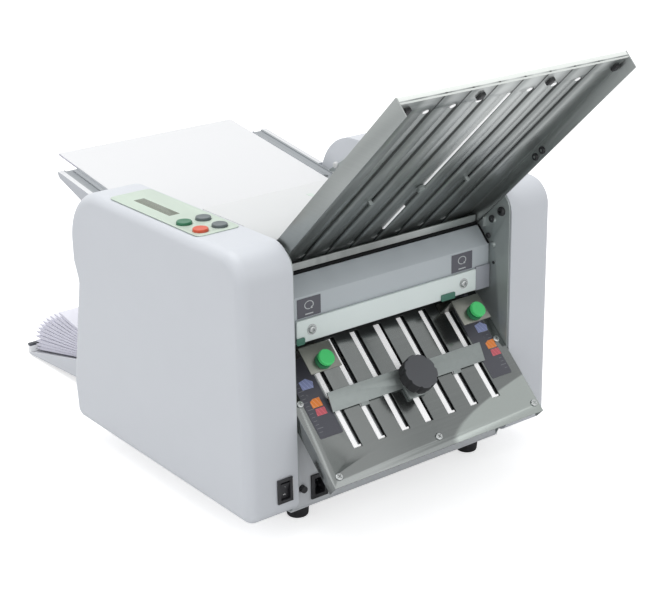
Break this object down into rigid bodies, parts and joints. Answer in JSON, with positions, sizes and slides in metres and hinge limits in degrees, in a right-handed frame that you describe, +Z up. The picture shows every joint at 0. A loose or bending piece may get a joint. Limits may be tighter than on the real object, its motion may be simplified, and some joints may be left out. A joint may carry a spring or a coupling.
{
  "type": "paper folding machine",
  "caption": "Table-top buckle paper folder: feed table, sloping fold plates with sliding stops, geared rollers, control panel and delivery tray.",
  "frame": {"origin": "under the middle of the machine's bounding box, on the surface its four feet stand on", "axes": "+X to the right of someone who faces the control panel and fold plates, +Y from that front side to the feed table at the back, +Z up"},
  "size_m": [0.49, 0.9212, 0.5731],
  "materials": {
    "white_plastic": "satin",
    "galvanised_steel": "satin",
    "bright_steel": "satin",
    "dark_steel": "satin",
    "light_paint": "satin",
    "black_plastic": "satin",
    "black_knob": "matte",
    "rubber_foot": "matte",
    "roller_rubber": "matte",
    "belt_rubber": "matte",
    "nylon": "satin",
    "grey_paint": "satin",
    "ivory_bar": "satin",
    "label_green": "matte",
    "board": "satin",
    "button_green": "satin",
    "button_grey": "satin",
    "button_red": "satin",
    "table_paint": "satin",
    "tray_plastic": "satin",
    "paper": "matte",
    "folded_paper": "matte"
  },
  "bodies": {
    "machine": {"left_cover": "white_plastic", "right_cover": "white_plastic", "side_frame_left": "galvanised_steel", "side_frame_right": "galvanised_steel", "base_plate": "light_paint", "rubber_foot_front_left": "rubber_foot", "rubber_foot_front_right": "rubber_foot", "rubber_foot_back_left": "rubber_foot", "rubber_foot_back_right": "rubber_foot", "front_panel": "light_paint", "rear_panel": "light_paint", "tie_rod": "bright_steel", "mains_inlet": "black_plastic", "power_switch_frame": "black_plastic", "control_panel_label": "label_green", "control_board": "board", "main_board": "board", "front_cover": "grey_paint", "front_bar": "ivory_bar", "bar_screw_left": "bright_steel", "bar_screw_right": "bright_steel", "plate_support": "bright_steel", "drive_belt": "belt_rubber", "motor": "dark_steel", "delivery_guide": "galvanised_steel", "separation_pad": "rubber_foot", "power_supply": "dark_steel", "feed_table": "table_paint"},
    "lower_plate": {"lower_plate": "galvanised_steel", "clamp_bracket_left": "bright_steel", "clamp_bracket_right": "bright_steel"},
    "lower_stop": {"lower_fold_stop": "galvanised_steel"},
    "lower_stop_knob": {"lower_stop_knob": "black_knob"},
    "clamp_knob_left": {"clamp_knob_left": "button_green"},
    "clamp_knob_right": {"clamp_knob_right": "button_green"},
    "upper_plate": {"upper_plate": "galvanised_steel"},
    "upper_stop": {"upper_fold_stop": "galvanised_steel"},
    "upper_stop_knob": {"upper_stop_knob": "black_knob"},
    "top_cover": {"top_cover": "white_plastic"},
    "fold_roller_centre": {"fold_roller_centre": "roller_rubber", "drive_pulley": "nylon"},
    "fold_roller_top": {"fold_roller_top": "roller_rubber"},
    "fold_roller_front": {"fold_roller_front": "roller_rubber"},
    "fold_roller_back": {"fold_roller_back": "roller_rubber"},
    "gear_idler": {"gear_idler": "nylon"},
    "feed_roller": {"feed_roller": "roller_rubber"},
    "delivery_roller": {"delivery_roller": "roller_rubber"},
    "delivery_wheels": {"delivery_wheels": "roller_rubber"},
    "motor_shaft": {"motor_shaft": "bright_steel"},
    "power_rocker": {"power_switch_rocker": "black_plastic"},
    "breaker_button": {"breaker_button": "black_plastic"},
    "button_stop": {"button_stop": "button_red"},
    "button_minus": {"button_minus": "button_grey"},
    "button_start": {"button_start": "button_green"},
    "button_plus": {"button_plus": "button_grey"},
    "feed_guide_left": {"feed_guide_left": "galvanised_steel"},
    "feed_guide_right": {"feed_guide_right": "galvanised_steel"},
    "paper_stack": {"paper_stack": "paper"},
    "delivery_tray": {"delivery_tray": "tray_plastic"},
    "folded_sheets": {"folded_sheets": "folded_paper"}
  },
  "joints": [
    {"name": "fold_roller_centre_spin", "type": "hinge", "parent": "machine", "child": "fold_roller_centre", "pos_m": [0, -0.12543, 0.272], "axis": [1, 0, 0], "continuous": true},
    {"name": "fold_roller_top_spin", "type": "hinge", "parent": "machine", "child": "fold_roller_top", "pos_m": [0, -0.12848, 0.30687], "axis": [1, 0, 0], "continuous": true},
    {"name": "fold_roller_front_spin", "type": "hinge", "parent": "machine", "child": "fold_roller_front", "pos_m": [0, -0.16043, 0.272], "axis": [1, 0, 0], "continuous": true},
    {"name": "fold_roller_back_spin", "type": "hinge", "parent": "machine", "child": "fold_roller_back", "pos_m": [0, -0.13449, 0.23819], "axis": [1, 0, 0], "continuous": true},
    {"name": "gear_idler_spin", "type": "hinge", "parent": "machine", "child": "gear_idler", "pos_m": [0, -0.09723, 0.32262], "axis": [1, 0, 0], "continuous": true},
    {"name": "feed_roller_spin", "type": "hinge", "parent": "machine", "child": "feed_roller", "pos_m": [0, -0.06543, 0.308], "axis": [1, 0, 0], "continuous": true},
    {"name": "delivery_roller_spin", "type": "hinge", "parent": "machine", "child": "delivery_roller", "pos_m": [0, 0.10657, 0.2025], "axis": [1, 0, 0], "continuous": true},
    {"name": "delivery_wheels_spin", "type": "hinge", "parent": "machine", "child": "delivery_wheels", "pos_m": [0, 0.10657, 0.178], "axis": [1, 0, 0], "continuous": true},
    {"name": "motor_shaft_spin", "type": "hinge", "parent": "machine", "child": "motor_shaft", "pos_m": [0, -0.01543, 0.095], "axis": [1, 0, 0], "continuous": true},
    {"name": "lower_plate_slide", "type": "slide", "parent": "machine", "child": "lower_plate", "axis": [0, -0.723, -0.6909], "range_m": [0, 0.1]},
    {"name": "lower_stop_slide", "type": "slide", "parent": "lower_plate", "child": "lower_stop", "axis": [0, 0.723, 0.6909], "range_m": [-0.043, 0.045]},
    {"name": "lower_stop_knob_turn", "type": "hinge", "parent": "lower_stop", "child": "lower_stop_knob", "pos_m": [0, -0.2677, 0.15277], "axis": [0, -0.6909, 0.723], "continuous": true},
    {"name": "clamp_knob_left_turn", "type": "hinge", "parent": "lower_plate", "child": "clamp_knob_left", "pos_m": [-0.122, -0.23061, 0.18821], "axis": [0, -0.6909, 0.723], "continuous": true},
    {"name": "clamp_knob_right_turn", "type": "hinge", "parent": "lower_plate", "child": "clamp_knob_right", "pos_m": [0.122, -0.23061, 0.18821], "axis": [0, -0.6909, 0.723], "continuous": true},
    {"name": "upper_plate_slide", "type": "slide", "parent": "machine", "child": "upper_plate", "axis": [0, -0.7193, 0.6947], "range_m": [0, 0.12]},
    {"name": "upper_stop_slide", "type": "slide", "parent": "upper_plate", "child": "upper_stop", "axis": [0, 0.7193, -0.6947], "range_m": [-0.18, 0.04]},
    {"name": "upper_stop_knob_turn", "type": "hinge", "parent": "upper_stop", "child": "upper_stop_knob", "pos_m": [0, -0.28689, 0.41106], "axis": [0, 0.6947, 0.7193], "continuous": true},
    {"name": "top_cover_hinge", "type": "hinge", "parent": "machine", "child": "top_cover", "pos_m": [0, -0.08343, 0.355], "axis": [-1, 0, 0], "range_deg": [0, 95]},
    {"name": "power_rocker_tilt", "type": "hinge", "parent": "machine", "child": "power_rocker", "pos_m": [-0.193, -0.26268, 0.068], "axis": [1, 0, 0], "range_deg": [-18, 0]},
    {"name": "breaker_button_press", "type": "slide", "parent": "machine", "child": "breaker_button", "axis": [0, 1, 0], "range_m": [0, 0.003], "stiffness_N_per_m": 300},
    {"name": "button_stop_press", "type": "slide", "parent": "machine", "child": "button_stop", "axis": [0, 0, -1], "range_m": [0, 0.0012], "stiffness_N_per_m": 800},
    {"name": "button_minus_press", "type": "slide", "parent": "machine", "child": "button_minus", "axis": [0, 0, -1], "range_m": [0, 0.0012], "stiffness_N_per_m": 800},
    {"name": "button_start_press", "type": "slide", "parent": "machine", "child": "button_start", "axis": [0, 0, -1], "range_m": [0, 0.0012], "stiffness_N_per_m": 800},
    {"name": "button_plus_press", "type": "slide", "parent": "machine", "child": "button_plus", "axis": [0, 0, -1], "range_m": [0, 0.0012], "stiffness_N_per_m": 800},
    {"name": "feed_guide_left_slide", "type": "slide", "parent": "machine", "child": "feed_guide_left", "axis": [-1, 0, 0], "range_m": [0, 0.01]},
    {"name": "feed_guide_right_slide", "type": "slide", "parent": "machine", "child": "feed_guide_right", "axis": [1, 0, 0], "range_m": [0, 0.01]},
    {"name": "paper_stack_lift", "type": "slide", "parent": "machine", "child": "paper_stack", "axis": [0, 0.9863, 0.165], "range_m": [0, 0.08]},
    {"name": "delivery_tray_slide", "type": "slide", "parent": "machine", "child": "delivery_tray", "axis": [0, 1, 0], "range_m": [0, 0.06]},
    {"name": "folded_sheets_lift", "type": "slide", "parent": "delivery_tray", "child": "folded_sheets", "axis": [0, 0, 1], "range_m": [0, 0.08]}
  ],
  "couplings": [
    {"joint": "fold_roller_top_spin", "follows": "fold_roller_centre_spin", "ratio": -1},
    {"joint": "fold_roller_front_spin", "follows": "fold_roller_centre_spin", "ratio": -1},
    {"joint": "fold_roller_back_spin", "follows": "fold_roller_centre_spin", "ratio": -1},
    {"joint": "gear_idler_spin", "follows": "fold_roller_centre_spin", "ratio": 1},
    {"joint": "feed_roller_spin", "follows": "fold_roller_centre_spin", "ratio": -1},
    {"joint": "delivery_roller_spin", "follows": "fold_roller_centre_spin", "ratio": 2.7273},
    {"joint": "delivery_wheels_spin", "follows": "fold_roller_centre_spin", "ratio": -2.7273},
    {"joint": "motor_shaft_spin", "follows": "fold_roller_centre_spin", "ratio": 3},
    {"joint": "feed_guide_right_slide", "follows": "feed_guide_left_slide", "ratio": 1}
  ]
}
